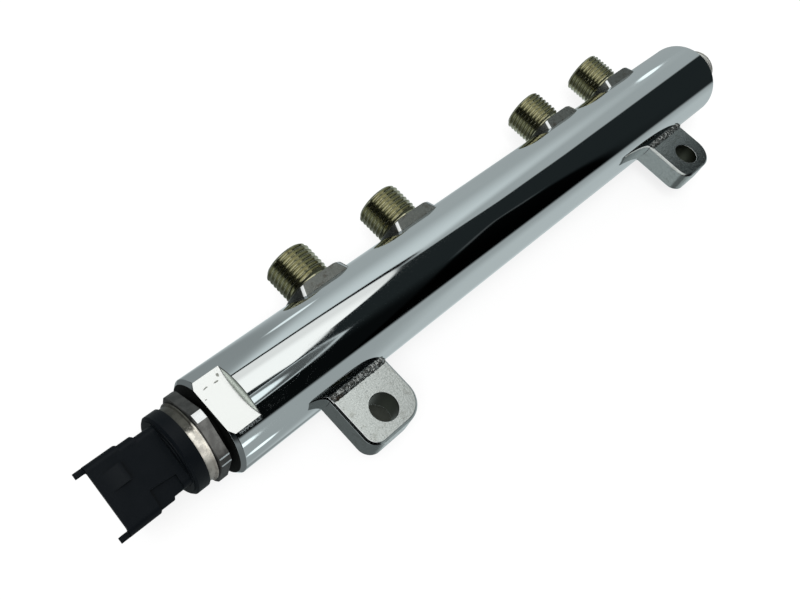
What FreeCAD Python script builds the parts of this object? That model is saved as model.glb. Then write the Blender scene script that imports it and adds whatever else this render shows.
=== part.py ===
import FreeCAD, Part
import math
import os

# Fuel rail: a welded high-pressure rail for a four-cylinder engine, in mm.
# A thick chromed tube carries four threaded outlets along one side, two
# bolt-down brackets along the other, an inlet stub at one end and a pressure
# sensor with a three-pin connector at the other.
# Everything is drawn about the tube: X runs along it from its sensor end,
# the outlets point to +Y, the brackets reach to -Y and +Z leaves their tops.
# At the end it is all moved so that the origin lies between the two bolt
# holes, on the plane of the bracket undersides.

# Rail tube
tube_radius = 15.0
gallery_radius = 5.0
end_chamfer_length = 1.05
end_chamfer_depth = 1.0
flat_height = 12.2
flat_length = 9.35

# Places along the tube
first_outlet_x = 52.6
outlet_pitch = 40.4
middle_pitch = 81.0
far_end_margin = 38.2
near_bracket_setback = 10.25
far_bracket_offset = 1.15

# Outlet fittings
thread_radius = 8.0
thread_chamfer = 0.9
stub_length = 12.6
relief_radius = 7.0
relief_length = 1.3
collar_rise = 0.4
collar_top_radius = 11.7
collar_draft = 16.0
collar_flat_width = 19.0
collar_edge_break = 0.5
spigot_radius = 5.5
spigot_depth = 5.0
cross_drill_radius = 1.5
seat_mouth_radius = 5.0
seat_half_angle = 30.0
fitting_bore_radius = 3.0
fitting_web = 2.5

# Flow restrictors pressed into the outlet fittings
restrictor_length = 5.0
restrictor_orifice_radius = 0.45

# Inlet fitting
inlet_stub_length = 13.8
inlet_shank_radius = 9.0
inlet_shank_depth = 6.0

# Brackets and their welds
bracket_width = 22.3
bracket_thickness = 9.0
bracket_top = 1.5
bolt_line_reach = 25.9
bolt_to_edge = 7.8
bolt_hole_radius = 4.5
bracket_near_corner = 4.5
bracket_far_corner = 8.0
bracket_edge_bevel = 0.7
weld_plate_leg = 1.1
weld_tube_leg = 1.4
weld_bulge = 0.25
weld_end_setback = 0.6
weld_seat_depth = 0.2
weld_seat_margin = 0.15

# Pressure sensor body
stem_radius = 9.0
stem_relief_radius = 8.2
stem_relief_length = 2.0
stem_depth = 15.0
nose_land_radius = 6.4
nose_length = 2.5
pressure_bore_radius = 2.0
hex_gap = 1.95
hex_thickness = 3.15
hex_flats = 24.2
hex_corner_radius = 13.24
hex_clocking = 28.5
groove_radius = 11.0
groove_width = 0.4
boss_radius = 9.5
boss_length = 2.5
cell_pocket_radius = 5.0
cell_pocket_depth = 3.0

# Measuring cell, crimp sleeve and circuit board
cell_height = 2.6
cell_membrane = 0.5
cell_inner_radius = 3.0
sleeve_radius = 11.4
sleeve_lip_radius = 12.0
sleeve_lip_width = 0.3
sleeve_length = 2.85
board_radius = 8.0
board_thickness = 1.0

# Connector housing
connector_clocking = 13.0
collar_radius = 12.0
collar_length = 4.05
collar_chamfer = 0.6
ring_radius = 11.0
ring_length = 0.25
inner_ring_radius = 9.4
inner_ring_length = 0.2
board_room_radius = 8.6
board_room_depth = 2.0
shroud_height = 14.0
shroud_corner = 2.0
neck_width = 17.9
neck_length = 5.7
middle_width = 19.4
middle_length = 4.4
mouth_width = 20.4
mouth_length = 8.6
shroud_step_length = 0.5
shroud_wall = 1.6
shroud_top_wall = 1.6
socket_depth = 14.0
socket_corner = 1.2
ear_length = 2.4
ear_height = 2.0
ear_level = 3.6
ear_round = 0.6
lower_wall_setback = 3.0
shoulder_drop = 1.2
shoulder_inner_u = 4.0
shoulder_length = 7.9
shoulder_skew = 0.6
latch_width = 5.0
latch_offset = 3.3
latch_setback = 2.0
latch_length = 5.3
latch_rise = 1.4
latch_root = 0.3

# Terminal pins
pin_pitch = 4.0
pin_width = 1.5
pin_thickness = 0.8
pin_length = 9.5
pin_point = 0.25

# Clearances
braze_gap = 0.05
thread_clearance = 0.1
slip_clearance = 0.1

ORIGIN = FreeCAD.Vector(0, 0, 0)
ALONG_X = FreeCAD.Vector(1, 0, 0)
ALONG_Y = FreeCAD.Vector(0, 1, 0)
ALONG_Z = FreeCAD.Vector(0, 0, 1)


def point(x, y, z):
    return FreeCAD.Vector(x, y, z)


def turned(profile):
    """Solid turned about X from (x, radius) points, closed on the axis."""
    outline = [(profile[0][0], 0)] + profile + [(profile[-1][0], 0)]
    corners = [point(x, radius, 0) for x, radius in outline]
    face = Part.Face(Part.makePolygon(corners + [corners[0]]))
    return face.revolve(ORIGIN, ALONG_X, 360)


def rod(radius, start, end):
    """Round bar on the X axis between two places."""
    return Part.makeCylinder(radius, end - start, point(start, 0, 0), ALONG_X)


def raised(shape, x):
    """Turns a shape drawn along X to point to +Y at a place on the tube."""
    shape = shape.copy()
    shape.rotate(ORIGIN, ALONG_Z, 90)
    shape.translate(point(x, 0, 0))
    return shape


# Places that follow from the sizes
outlet_xs = [first_outlet_x]
outlet_xs.append(outlet_xs[-1] + outlet_pitch)
outlet_xs.append(outlet_xs[-1] + middle_pitch)
outlet_xs.append(outlet_xs[-1] + outlet_pitch)
tube_length = outlet_xs[-1] + far_end_margin
near_bracket_x = outlet_xs[0] - near_bracket_setback
far_bracket_x = outlet_xs[-1] + far_bracket_offset
bracket_underside = bracket_top - bracket_thickness
bracket_reach = bolt_line_reach + bolt_to_edge
weld_seat_top = bracket_top - weld_seat_depth
spigot_floor = tube_radius - spigot_depth
spigot_hole_radius = spigot_radius + braze_gap
port_radius = stem_radius + thread_clearance
collar_top = tube_radius + collar_rise
fitting_tip = collar_top + stub_length
restrictor_seat = spigot_floor + fitting_web
restrictor_radius = fitting_bore_radius - braze_gap


# Rail tube with its gallery, sensor port, cross holes and clocking flat
def make_tube():
    tube = turned([
        (0, tube_radius - end_chamfer_depth),
        (end_chamfer_length, tube_radius),
        (tube_length - end_chamfer_length, tube_radius),
        (tube_length, tube_radius - end_chamfer_depth),
    ])
    inlet_floor = tube_length - inlet_shank_depth
    bores = [
        rod(gallery_radius, 0, tube_length),
        rod(port_radius, 0, stem_depth),
        rod(inlet_shank_radius + braze_gap, inlet_floor, tube_length),
    ]
    for x in outlet_xs:
        bores.append(raised(rod(cross_drill_radius, 0, tube_radius), x))
        bores.append(raised(rod(spigot_hole_radius, spigot_floor, tube_radius + 1), x))
    flat_cut = Part.makeBox(
        flat_length, 2 * tube_radius, tube_radius, point(0, -tube_radius, flat_height)
    )
    return tube.cut(bores + [flat_cut])


def stub(start, length):
    """Threaded stub with a relief groove at its root and a chamfered tip."""
    return [
        (start, relief_radius),
        (start + relief_length, relief_radius),
        (start + relief_length, thread_radius),
        (start + length - thread_chamfer, thread_radius),
        (start + length, thread_radius - thread_chamfer),
    ]


def pipe_bore(tip, floor):
    """Conical pipe seat that opens at the tip and runs into a round bore."""
    cone_depth = (seat_mouth_radius - fitting_bore_radius) / math.tan(math.radians(seat_half_angle))
    return turned([
        (floor, fitting_bore_radius),
        (tip - cone_depth, fitting_bore_radius),
        (tip, seat_mouth_radius),
    ])


# Outlet fitting: spigot, drafted collar with two wrench flats, threaded stub
def make_outlet(x):
    collar_foot = spigot_floor + braze_gap
    spread = (collar_top - collar_foot) * math.tan(math.radians(collar_draft))
    collar = turned([
        (collar_foot, collar_top_radius + spread),
        (collar_top - collar_edge_break, collar_top_radius + collar_edge_break / 2),
        (collar_top, collar_top_radius - collar_edge_break),
    ])
    span = 4 * collar_top_radius
    flats = Part.makeBox(
        collar_top, span, collar_flat_width, point(0, -span / 2, -collar_flat_width / 2)
    )
    collar = raised(collar.common(flats), x)
    collar = collar.cut(rod(tube_radius + braze_gap, 0, tube_length))
    neck = rod(spigot_radius, spigot_floor, collar_top)
    body = collar.fuse([raised(neck, x), raised(turned(stub(collar_top, stub_length)), x)])
    body = body.removeSplitter()
    bores = [
        raised(pipe_bore(fitting_tip, restrictor_seat), x),
        raised(rod(cross_drill_radius, spigot_floor, restrictor_seat), x),
    ]
    return body.cut(bores)


# Restrictor: a short plug with a fine orifice, seated at the bore's floor
def make_restrictor(x):
    end = restrictor_seat + restrictor_length
    plug = rod(restrictor_radius, restrictor_seat, end)
    return raised(plug.cut(rod(restrictor_orifice_radius, restrictor_seat, end)), x)


# Inlet fitting: a shank sunk in the tube's far end and a threaded stub
def make_inlet():
    shank_start = tube_length - inlet_shank_depth
    shank = rod(inlet_shank_radius, shank_start, tube_length)
    body = shank.fuse(turned(stub(tube_length, inlet_stub_length))).removeSplitter()
    return body.cut(pipe_bore(tube_length + inlet_stub_length, shank_start))


# Bracket: a thick plate with uneven corners whose inner end follows the tube
def make_bracket(x):
    left, right = x - bracket_width / 2, x + bracket_width / 2
    near, far = bracket_near_corner, bracket_far_corner
    inner, outer = -tube_radius / 2, -bracket_reach
    sine = math.sin(math.pi / 4)
    low = bracket_underside

    def corner(px, py):
        return point(px, py, low)

    near_arc = Part.Arc(
        corner(left, outer + near),
        corner(left + near * (1 - sine), outer + near * (1 - sine)),
        corner(left + near, outer),
    )
    far_arc = Part.Arc(
        corner(right - far, outer),
        corner(right - far * (1 - sine), outer + far * (1 - sine)),
        corner(right, outer + far),
    )
    outline = Part.Wire([
        Part.makeLine(corner(left, inner), corner(left, outer + near)),
        near_arc.toShape(),
        Part.makeLine(corner(left + near, outer), corner(right - far, outer)),
        far_arc.toShape(),
        Part.makeLine(corner(right, outer + far), corner(right, inner)),
        Part.makeLine(corner(right, inner), corner(left, inner)),
    ])
    plate = Part.Face(outline).extrude(ALONG_Z * bracket_thickness)
    rim = [
        edge for edge in plate.Edges
        if edge.BoundBox.ZLength < 0.001 and edge.BoundBox.YMin < inner - 0.001
    ]
    plate = plate.makeChamfer(bracket_edge_bevel, rim)
    hole = Part.makeCylinder(bolt_hole_radius, bracket_thickness, corner(x, -bolt_line_reach))
    seats = []
    for level, floor in ((bracket_top, weld_seat_top), (low, low)):
        seat_edge = weld_root(level).y - weld_plate_leg - weld_seat_margin
        seats.append(Part.makeBox(
            bracket_width, -seat_edge, weld_seat_depth, point(left, seat_edge, floor)
        ))
    return plate.cut([rod(tube_radius + braze_gap, 0, tube_length), hole] + seats)


def weld_root(level):
    """Where a bracket's plate meets the tube, at a height."""
    reach = tube_radius + braze_gap
    return point(0, -math.sqrt(reach ** 2 - level ** 2), level)


def weld_bead(x, level, side):
    """Fillet bead between the tube and one face of a bracket's plate."""
    reach = tube_radius + braze_gap
    root_angle = math.asin(level / reach)
    toe_angle = root_angle + side * weld_tube_leg / reach

    def on_tube(angle):
        return point(0, -reach * math.cos(angle), reach * math.sin(angle))

    root, toe = weld_root(level), on_tube(toe_angle)
    plate_toe = point(0, root.y - weld_plate_leg, level)
    outward = point(0, -1, side).normalize()
    crown = (toe + plate_toe) * 0.5 + outward * weld_bulge
    profile = Part.Wire([
        Part.Arc(root, on_tube((root_angle + toe_angle) / 2), toe).toShape(),
        Part.Arc(toe, crown, plate_toe).toShape(),
        Part.makeLine(plate_toe, root),
    ])
    length = bracket_width - 2 * weld_end_setback
    bead = Part.Face(profile).extrude(ALONG_X * length)
    bead.translate(point(x - length / 2, 0, 0))
    return bead


# Welds of one bracket: a bead above the plate and a bead below it
def make_welds(x):
    return Part.makeCompound([
        weld_bead(x, weld_seat_top, 1),
        weld_bead(x, bracket_underside + weld_seat_depth, -1),
    ])


# Places along the sensor, which leaves the tube's end toward -X
hex_end = -hex_gap - hex_thickness
sleeve_start = hex_end - groove_width
sleeve_end = sleeve_start - sleeve_length
boss_end = sleeve_start - boss_length
collar_end = sleeve_end - collar_length
ring_end = collar_end - ring_length
shroud_start = ring_end - inner_ring_length
neck_end = shroud_start - neck_length
middle_end = neck_end - middle_length
mouth_end = middle_end - mouth_length
board_back = boss_end - board_thickness
board_room_end = sleeve_end - board_room_depth
socket_floor = mouth_end + socket_depth


# Sensor body: hexagon with turned corners, threaded stem and sealing nose
def make_sensor_body():
    across_corners = hex_flats / 2 / math.cos(math.pi / 6)
    corners = [
        point(hex_end, across_corners * math.cos(turn), across_corners * math.sin(turn))
        for turn in [math.radians(hex_clocking + 60 * k) for k in range(6)]
    ]
    prism = Part.Face(Part.makePolygon(corners + [corners[0]])).extrude(ALONG_X * hex_thickness)
    hexagon = rod(hex_corner_radius, hex_end, -hex_gap).common(prism)
    stem = turned([
        (-hex_gap, stem_relief_radius),
        (stem_relief_length - hex_gap, stem_relief_radius),
        (stem_relief_length - hex_gap, stem_radius),
        (stem_depth - nose_length, stem_radius),
        (stem_depth, nose_land_radius),
    ])
    body = hexagon.fuse([
        stem,
        rod(groove_radius, sleeve_start, hex_end),
        rod(boss_radius, boss_end, sleeve_start),
    ])
    body = body.removeSplitter()
    return body.cut([
        rod(pressure_bore_radius, boss_end, stem_depth),
        rod(cell_pocket_radius, boss_end, boss_end + cell_pocket_depth),
    ])


# Measuring cell: a cup whose thin floor is the membrane, open to the bore
def make_cell():
    floor = boss_end + cell_pocket_depth
    cup = rod(cell_pocket_radius - slip_clearance, floor - cell_height, floor)
    return cup.cut(rod(cell_inner_radius, floor - cell_height + cell_membrane, floor))


# Crimp sleeve between the sensor body's groove and the connector housing
def make_sleeve():
    ring = rod(sleeve_radius, sleeve_end, sleeve_start)
    ring = ring.fuse(rod(sleeve_lip_radius, sleeve_start - sleeve_lip_width, sleeve_start))
    ring = ring.removeSplitter()
    return ring.cut(rod(boss_radius + slip_clearance, sleeve_end, sleeve_start))


# Circuit board that lies on the boss, inside the housing
def make_board():
    return rod(board_radius, board_back, boss_end)


def rounded_bar(start, end, width, height, corner):
    """Bar along X with rounded edges, centred on the axis."""
    bar = Part.makeBox(end - start, width, height, point(start, -width / 2, -height / 2))
    long_edges = [edge for edge in bar.Edges if edge.BoundBox.XLength > (end - start) / 2]
    return bar.makeFillet(corner, long_edges)


def flare(end, width, wider):
    """Short step that widens the shroud toward its mouth."""
    half = shroud_height / 2
    corners = [
        point(end + shroud_step_length, -width / 2, -half),
        point(end, -wider / 2, -half),
        point(end, wider / 2, -half),
        point(end + shroud_step_length, width / 2, -half),
    ]
    step = Part.Face(Part.makePolygon(corners + [corners[0]])).extrude(ALONG_Z * shroud_height)
    trim = rounded_bar(end, end + shroud_step_length, wider, shroud_height, shroud_corner)
    return step.common(trim)


def side_profile(corners):
    """Prism across the shroud from (x, z) points seen from its side."""
    outline = [point(x, -mouth_width, z) for x, z in corners]
    return Part.Face(Part.makePolygon(outline + [outline[0]])).extrude(ALONG_Y * 2 * mouth_width)


# Connector housing: round collar, stepped shroud, ears, latch nose, shoulder
def make_housing():
    half = shroud_height / 2
    collar = turned([
        (collar_end, collar_radius - collar_chamfer),
        (collar_end + collar_chamfer, collar_radius),
        (sleeve_end, collar_radius),
    ])
    rings = [
        rod(ring_radius, ring_end, collar_end),
        rod(inner_ring_radius, shroud_start, ring_end),
    ]
    bars = [
        rounded_bar(neck_end, collar_end, neck_width, shroud_height, shroud_corner),
        flare(neck_end, neck_width, middle_width),
        rounded_bar(middle_end, neck_end, middle_width, shroud_height, shroud_corner),
        flare(middle_end, middle_width, mouth_width),
        rounded_bar(mouth_end, middle_end, mouth_width, shroud_height, shroud_corner),
    ]
    ear_end = mouth_end - ear_length
    ear_bar = rounded_bar(ear_end, mouth_end + ear_length, mouth_width, ear_height, ear_round)
    round_ends = Part.makeBox(
        2 * ear_length, mouth_width, ear_height, point(ear_end, -mouth_width / 2, -ear_height / 2)
    )
    front_edges = [
        edge for edge in round_ends.Edges
        if edge.BoundBox.YLength > 1 and edge.BoundBox.XMax < ear_end + 0.001
    ]
    ears = ear_bar.common(round_ends.makeFillet(ear_round, front_edges))
    ears.translate(point(0, 0, ear_level))
    latch_back = mouth_end + latch_setback + latch_length
    latch = Part.Face(Part.makePolygon([
        point(latch_back, 0, half - latch_root),
        point(latch_back, 0, half + latch_rise),
        point(latch_back - latch_length / 4, 0, half + latch_rise),
        point(mouth_end + latch_setback, 0, half),
        point(mouth_end + latch_setback, 0, half - latch_root),
        point(latch_back, 0, half - latch_root),
    ])).extrude(ALONG_Y * latch_width)
    latch.translate(point(0, latch_offset - latch_width / 2, 0))
    housing = collar.fuse(rings + bars + [ears, latch]).removeSplitter()

    socket_width = mouth_width - 2 * shroud_wall
    socket_height = shroud_height - 2 * shroud_top_wall
    socket = rounded_bar(ear_end, socket_floor, socket_width, socket_height, socket_corner)
    lower_cut = side_profile([
        (ear_end, -half),
        (mouth_end + lower_wall_setback, -half),
        (mouth_end + lower_wall_setback, -half + shroud_top_wall),
        (mouth_end, ear_level - ear_height / 2),
        (ear_end, ear_level - ear_height / 2),
    ])
    shoulder_back = middle_end + shoulder_length
    shoulder_floor = half - shoulder_drop
    shoulder_front = middle_end + shoulder_skew
    shoulder = Part.Face(Part.makePolygon([
        point(shoulder_front, -shoulder_inner_u, shoulder_floor),
        point(shoulder_back, -shoulder_inner_u - shoulder_skew, shoulder_floor),
        point(shoulder_back, -mouth_width, shoulder_floor),
        point(middle_end - shoulder_skew, -mouth_width, shoulder_floor),
        point(shoulder_front, -shoulder_inner_u, shoulder_floor),
    ])).extrude(ALONG_Z * (shoulder_drop + 1))
    cuts = [
        socket,
        lower_cut,
        shoulder,
        rod(board_room_radius, board_room_end, sleeve_end),
    ]
    for place in (-1, 0, 1):
        cuts.append(pin_blank(place, slip_clearance / 2, socket_floor, board_back))
    return clocked(housing.cut(cuts))


def pin_blank(place, extra, start, end):
    """Flat bar for one terminal, or its slot when extra is given."""
    width, thickness = pin_width + 2 * extra, pin_thickness + 2 * extra
    corner = point(start, place * pin_pitch - width / 2, -thickness / 2)
    return Part.makeBox(end - start, width, thickness, corner)


def clocked(shape):
    """Turns the connector about the rail's axis to its mounted angle."""
    return shape.rotated(ORIGIN, ALONG_X, connector_clocking)


# Terminal pin: a flat blade with a pointed end that stands on the board
def make_pin(place):
    blade = pin_blank(place, 0, socket_floor - pin_length, board_back)
    tip = [
        edge for edge in blade.Edges
        if edge.BoundBox.YLength > 0.1 and edge.BoundBox.XMax < socket_floor - pin_length + 0.001
    ]
    return clocked(blade.makeChamfer(pin_point, tip))


pieces = {
    "rail_tube": make_tube(),
    "inlet_fitting": make_inlet(),
    "bracket_near": make_bracket(near_bracket_x),
    "bracket_far": make_bracket(far_bracket_x),
    "bracket_weld_near": make_welds(near_bracket_x),
    "bracket_weld_far": make_welds(far_bracket_x),
    "sensor_body": make_sensor_body(),
    "sensor_measuring_cell": make_cell(),
    "sensor_crimp_sleeve": make_sleeve(),
    "sensor_circuit_board": make_board(),
    "sensor_connector_housing": make_housing(),
}
for number, x in enumerate(outlet_xs, 1):
    pieces["outlet_fitting_%d" % number] = make_outlet(x)
    pieces["outlet_restrictor_%d" % number] = make_restrictor(x)
for number, place in enumerate((-1, 0, 1), 1):
    pieces["sensor_pin_%d" % number] = make_pin(place)

# Origin between the bolt holes, on the plane the brackets rest on
bolt_middle_x = (near_bracket_x + far_bracket_x) / 2
to_bolts = point(-bolt_middle_x, bolt_line_reach, -bracket_underside)
os.makedirs("parts", exist_ok=True)
for name, shape in pieces.items():
    shape.translate(to_bolts)
    shape.exportStep("parts/%s.step" % name)
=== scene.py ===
import math

import bmesh
import bpy
from mathutils import Matrix, Vector


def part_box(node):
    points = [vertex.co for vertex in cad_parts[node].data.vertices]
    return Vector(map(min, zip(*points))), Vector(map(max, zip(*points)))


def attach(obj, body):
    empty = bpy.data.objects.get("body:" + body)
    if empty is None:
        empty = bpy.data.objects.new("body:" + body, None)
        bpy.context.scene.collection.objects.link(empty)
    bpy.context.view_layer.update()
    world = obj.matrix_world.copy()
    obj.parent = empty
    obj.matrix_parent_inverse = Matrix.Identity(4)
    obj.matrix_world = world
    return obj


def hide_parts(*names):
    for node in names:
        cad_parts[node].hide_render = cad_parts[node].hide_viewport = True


# Fuel rail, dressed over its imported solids. Sizes here are in mm, in the
# row frame; they become metres when a mesh is made.

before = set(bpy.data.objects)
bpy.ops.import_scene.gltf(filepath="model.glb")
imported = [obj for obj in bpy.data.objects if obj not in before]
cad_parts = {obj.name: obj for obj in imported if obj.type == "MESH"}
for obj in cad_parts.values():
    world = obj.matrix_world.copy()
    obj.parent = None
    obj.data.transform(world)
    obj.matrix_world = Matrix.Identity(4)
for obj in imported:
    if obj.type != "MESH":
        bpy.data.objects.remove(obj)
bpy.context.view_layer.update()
MM = 0.001


# Shared tools: node graphs

class Signal:
    """One socket of a node graph, with Python's operators for its maths."""

    def __init__(self, graph, socket):
        self.graph = graph
        self.socket = socket

    def __add__(self, other):
        return self.graph.maths("ADD", self, other)

    __radd__ = __add__

    def __sub__(self, other):
        return self.graph.maths("SUBTRACT", self, other)

    def __rsub__(self, other):
        return self.graph.maths("SUBTRACT", other, self)

    def __mul__(self, other):
        return self.graph.maths("MULTIPLY", self, other)

    __rmul__ = __mul__

    def __truediv__(self, other):
        return self.graph.maths("DIVIDE", self, other)

    def __abs__(self):
        return self.graph.maths("ABSOLUTE", self)


class Graph:
    """Adds nodes to one tree."""

    def __init__(self, tree):
        self.tree = tree

    def node(self, kind, settings=None, values=None, output=0):
        node = self.tree.nodes.new(kind)
        for name, value in (settings or {}).items():
            setattr(node, name, value)
        for name, value in (values or {}).items():
            if isinstance(value, Signal):
                self.tree.links.new(value.socket, node.inputs[name])
            else:
                node.inputs[name].default_value = value
        return Signal(self, node.outputs[output])

    def maths(self, operation, *values):
        return self.node("ShaderNodeMath", {"operation": operation}, dict(enumerate(values)))

    def distance(self, x, y):
        return self.maths("SQRT", x * x + y * y)

    def smooth(self, value, low, high):
        """0 below low, 1 above high, and a soft step between them."""
        return self.node(
            "ShaderNodeMapRange",
            {"interpolation_type": "SMOOTHSTEP"},
            {"Value": value, "From Min": low, "From Max": high},
        )

    def ramp(self, value, low, high, to_low, to_high):
        return self.node(
            "ShaderNodeMapRange",
            {},
            {
                "Value": value, "From Min": low, "From Max": high,
                "To Min": to_low, "To Max": to_high,
            },
        )

    def blend(self, factor, first, second):
        """Mixes two colours."""
        return self.node(
            "ShaderNodeMix", {"data_type": "RGBA"}, {0: factor, 6: first, 7: second}, output=2
        )

    def vector(self, x, y, z):
        return self.node("ShaderNodeCombineXYZ", {}, {0: x, 1: y, 2: z})

    def parts(self, vector):
        return [self.node("ShaderNodeSeparateXYZ", {}, {0: vector}, output=i) for i in range(3)]

    def stretched(self, vector, x, y, z):
        return self.node(
            "ShaderNodeVectorMath", {"operation": "MULTIPLY"}, {0: vector, 1: (x, y, z)}
        )

    def grain(self, vector, scale, detail=3.0, roughness=0.55):
        return self.node(
            "ShaderNodeTexNoise",
            {},
            {"Vector": vector, "Scale": scale, "Detail": detail, "Roughness": roughness},
        )


def colour(red, green, blue):
    return (red, green, blue, 1.0)


class Finish(Graph):
    """A material, with the place on the rail in mm as its pattern space."""

    def __init__(self, name):
        self.material = bpy.data.materials.new(name)
        self.material.use_nodes = True
        super().__init__(self.material.node_tree)
        self.surface = self.tree.nodes["Principled BSDF"]
        self.place = self.stretched(
            self.node("ShaderNodeTexCoord", output=3), 1000, 1000, 1000
        )

    def axis_place(self, origin):
        """Distance along the rail, round its axis, and out from it, in mm."""
        moved = self.node(
            "ShaderNodeVectorMath", {"operation": "SUBTRACT"}, {0: self.place, 1: origin}
        )
        x, y, z = self.parts(moved)
        return x, self.maths("ARCTAN2", y, z), self.distance(y, z)

    def set(self, **values):
        for name, value in values.items():
            socket = self.surface.inputs[name.replace("_", " ").title()]
            if isinstance(value, Signal):
                self.tree.links.new(value.socket, socket)
            else:
                socket.default_value = value

    def bump(self, height, depth):
        """Relief from a height of 0 to 1, depth in mm."""
        relief = self.node(
            "ShaderNodeBump", {}, {"Height": height, "Distance": depth * MM, "Strength": 1.0}
        )
        self.tree.links.new(relief.socket, self.surface.inputs["Normal"])


# Shared tools: meshes

class Axis:
    """Line that turned pieces are made about."""

    def __init__(self, start, along, across):
        self.start = Vector(start)
        self.along = Vector(along)
        self.across = Vector(across)
        self.up = self.along.cross(self.across)

    def outward(self, angle):
        return self.across * math.cos(angle) + self.up * math.sin(angle)

    def place(self, along, across, up):
        return self.start + self.along * along + self.across * across + self.up * up

    def direction(self, along, across, up):
        return self.along * along + self.across * across + self.up * up


def softened(corners, steps=4):
    """Closed profile from (along, radius, rounding) corners.

    Each point of the result has the slope just before it and just after it.
    """
    profile = []
    for i, (along, radius, rounding) in enumerate(corners):
        here = Vector((along, radius))
        into = (here - Vector(corners[i - 1][:2])).normalized()
        out = (Vector(corners[(i + 1) % len(corners)][:2]) - here).normalized()
        turn = math.atan2(into.cross(out), into.dot(out))
        slope = Vector((-into.y, into.x))
        if rounding == 0:
            profile.append((here, slope, Vector((-out.y, out.x))))
            continue
        side = math.copysign(rounding, turn)
        centre = here - into * (rounding * math.tan(abs(turn) / 2)) + slope * side
        for k in range(steps + 1):
            turned = Matrix.Rotation(turn * k / steps, 2)
            normal = turned @ slope
            profile.append((centre - normal * side, normal, normal))
    return profile


class Skin:
    """Rings of points in mm and the bands of faces that join them."""

    def __init__(self):
        self.points = []
        self.faces = []
        self.normals = []

    def ring(self, points):
        first = len(self.points)
        self.points.extend(points)
        return list(range(first, len(self.points)))

    def face(self, corners, normals=None):
        kept = [i for i, c in enumerate(corners) if c not in corners[:i]]
        if len(kept) > 2:
            self.faces.append([corners[i] for i in kept])
            self.normals.append([normals[i] for i in kept] if normals else None)

    def band(self, lower, upper, lower_normals=None, upper_normals=None, closed=True):
        for i in range(len(lower) if closed else len(lower) - 1):
            j = (i + 1) % len(lower)
            normals = None
            if lower_normals:
                normals = [lower_normals[i], lower_normals[j], upper_normals[j], upper_normals[i]]
            self.face([lower[i], lower[j], upper[j], upper[i]], normals)

    def turn(self, profile, axis, count=128):
        """Solid turned about an axis from a closed profile."""
        outward = [axis.outward(2 * math.pi * k / count) for k in range(count)]
        rings = []
        for here, _, _ in profile:
            if abs(here.y) < 1e-6:
                rings.append(self.ring([axis.start + axis.along * here.x]) * count)
            else:
                rings.append(self.ring([
                    axis.start + axis.along * here.x + out * here.y for out in outward
                ]))
        for i, ring in enumerate(rings):
            j = (i + 1) % len(rings)
            after, before = profile[i][2], profile[j][1]
            self.band(
                ring,
                rings[j],
                [axis.along * after.x + out * after.y for out in outward],
                [axis.along * before.x + out * before.y for out in outward],
            )
        return self

    def add(self, mesh, axis):
        """Takes in a mesh that was made in mm about its own X axis."""
        first = len(self.points)
        self.points += [axis.place(*vertex.co) for vertex in mesh.vertices]
        for polygon in mesh.polygons:
            self.face([first + i for i in polygon.vertices])

    def piece(self, name, finish, sharp_angle=None):
        """Object of the skin; sharp_angle is for skins without normals of their own."""
        mesh = bpy.data.meshes.new(name)
        mesh.from_pydata([point * MM for point in self.points], [], self.faces)
        work = bmesh.new()
        work.from_mesh(mesh)
        if sharp_angle is None:
            turned_in = work.calc_volume(signed=True) < 0
            work.free()
            faces, normals = self.faces, self.normals
            if turned_in:
                faces = [face[::-1] for face in faces]
                normals = [[-n for n in group[::-1]] for group in normals]
                mesh.clear_geometry()
                mesh.from_pydata([point * MM for point in self.points], [], faces)
            mesh.shade_smooth()
            mesh.normals_split_custom_set([n.normalized() for group in normals for n in group])
        else:
            bmesh.ops.remove_doubles(work, verts=work.verts, dist=0.002 * MM)
            bmesh.ops.dissolve_degenerate(work, edges=work.edges, dist=0.0005 * MM)
            bmesh.ops.recalc_face_normals(work, faces=work.faces)
            if work.calc_volume(signed=True) < 0:
                bmesh.ops.reverse_faces(work, faces=work.faces)
            work.to_mesh(mesh)
            work.free()
            mesh.shade_smooth()
            mesh.set_sharp_from_angle(angle=math.radians(sharp_angle))
        mesh.materials.append(finish.material)
        return show(bpy.data.objects.new(name, mesh))


def show(thing):
    bpy.context.scene.collection.objects.link(thing)
    return thing


def weigh_normals(piece):
    """Lets the larger faces set the shading beside small edge breaks."""
    weigh = piece.modifiers.new("Weighted normals", "WEIGHTED_NORMAL")
    weigh.keep_sharp = True
    return piece


def dressed(piece, slot, *nodes):
    """Hangs a piece on the rail in place of its plain solids."""
    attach(piece, "root")
    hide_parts(*nodes)


def coat(thing, *finishes):
    """Adds finishes to a piece, in the order in which its faces count them."""
    for finish in finishes:
        thing.data.materials.append(finish.material)


def repainted(name, *finishes):
    """A solid of the frame, with these finishes and no other."""
    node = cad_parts[name]
    node.data.materials.clear()
    coat(node, *finishes)
    return node


# Places taken from the solids
def solid(node):
    low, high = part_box(node)
    return low / MM, high / MM


tube_low, tube_high = solid("rail_tube")
rail_y = (tube_low.y + tube_high.y) / 2
rail_z = (tube_low.z + tube_high.z) / 2
tube_radius = (tube_high.z - tube_low.z) / 2
tube_length = tube_high.x - tube_low.x
rail = Axis((tube_low.x, rail_y, rail_z), (1, 0, 0), (0, 1, 0))
rail_origin = tuple(rail.start)
bolt_x = sum(corner.x for corner in solid("bracket_far")) / 2
bolt_hole_radius = 4.5

# Sizes of the tube that its box doesn't show
flat_level = 12.2
flat_end = 9.35
end_bevel = 1.05
bevel_drop = 1.0
port_radius = 9.1
port_depth = 15.0
gallery_radius = 5.0
shank_hole_radius = 9.05
shank_hole_depth = 6.0


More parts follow.
